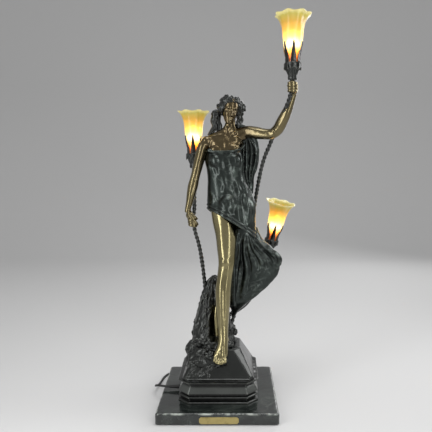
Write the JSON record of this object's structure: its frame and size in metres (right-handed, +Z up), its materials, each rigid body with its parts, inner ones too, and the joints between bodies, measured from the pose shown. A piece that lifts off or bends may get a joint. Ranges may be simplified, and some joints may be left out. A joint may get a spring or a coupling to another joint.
{
  "type": "figural table lamp",
  "caption": "Figural table lamp: a draped standing figure on a rock holds up a lily light, with further lily lights on twisted stems, over a stepped plinth and a marble slab.",
  "frame": {"origin": "middle of the underside of the felt, on the surface that the lamp stands on", "axes": "+Z up, -Y towards the viewer, where the nameplate is, +X to the viewer's right"},
  "size_m": [0.3424, 0.4068, 0.829],
  "materials": {
    "dark_marble": "polished dark marble",
    "felt": "pressed felt",
    "nameplate_brass": "satin brass, bare",
    "dark_bronze": "cast bronze with a near-black patina",
    "gold_bronze": "cast bronze, polished gold-brown",
    "green_black_bronze": "cast bronze with a green-black patina",
    "zinc_steel": "zinc plated",
    "phenolic": "moulded phenolic",
    "brass": "turned brass",
    "amber_glass": "blown amber glass, ruffled rim",
    "nickel": "nickelled cap",
    "bulb_glass": "frosted lamp glass",
    "lead_sheath": "insulated lead",
    "black_rubber": "moulded rubber",
    "cord_sheath": "black flexible sheath",
    "black_plastic": "moulded plastic",
    "rocker_plastic": "moulded plastic",
    "contact_brass": "stamped brass"
  },
  "bodies": {
    "root": {"arm_left": "gold_bronze", "arm_right": "gold_bronze", "base_felt": "felt", "bulb_cap_1": "nickel", "bulb_cap_2": "nickel", "bulb_cap_3": "nickel", "bulb_glass_1": "bulb_glass", "bulb_glass_2": "bulb_glass", "bulb_glass_3": "bulb_glass", "calyx_1": "dark_bronze", "calyx_2": "dark_bronze", "calyx_3": "dark_bronze", "cape": "green_black_bronze", "casting_dowels": "zinc_steel", "coil_tie": "black_rubber", "cord_bushing": "black_rubber", "cord_coil": "cord_sheath", "cord_lead": "cord_sheath", "cord_link": "cord_sheath", "cord_tail": "cord_sheath", "drapery_billow": "green_black_bronze", "dress": "green_black_bronze", "head": "gold_bronze", "lampholder_1": "phenolic", "lampholder_2": "phenolic", "lampholder_3": "phenolic", "leg_front": "gold_bronze", "leg_rear": "gold_bronze", "marble_slab": "dark_marble", "mound_nut": "zinc_steel", "mound_stud": "zinc_steel", "nameplate": "nameplate_brass", "nameplate_pins": "nameplate_brass", "plinth": "dark_bronze", "plinth_bolts": "zinc_steel", "plinth_washers": "zinc_steel", "plug_blades": "contact_brass", "plug_body": "black_plastic", "rock_mound": "dark_bronze", "shade_1": "amber_glass", "shade_2": "amber_glass", "shade_3": "amber_glass", "shade_ring_1": "brass", "shade_ring_2": "brass", "shade_ring_3": "brass", "stem_1": "dark_bronze", "stem_2": "dark_bronze", "stem_3": "dark_bronze", "stem_lead_1": "lead_sheath", "stem_lead_2": "lead_sheath", "stem_lead_3": "lead_sheath", "switch_base": "black_plastic", "switch_contacts": "contact_brass", "switch_cover": "black_plastic", "switch_screws": "zinc_steel", "terminal_block": "phenolic", "torso": "gold_bronze"},
    "rocker": {"switch_rocker": "rocker_plastic"}
  },
  "joints": [
    {"name": "switch_rocker_tilt", "type": "hinge", "parent": "root", "child": "rocker", "pos_m": [-0.055, 0.148, 0.013], "axis": [0, 1, 0], "range_deg": [0, 18]}
  ]
}
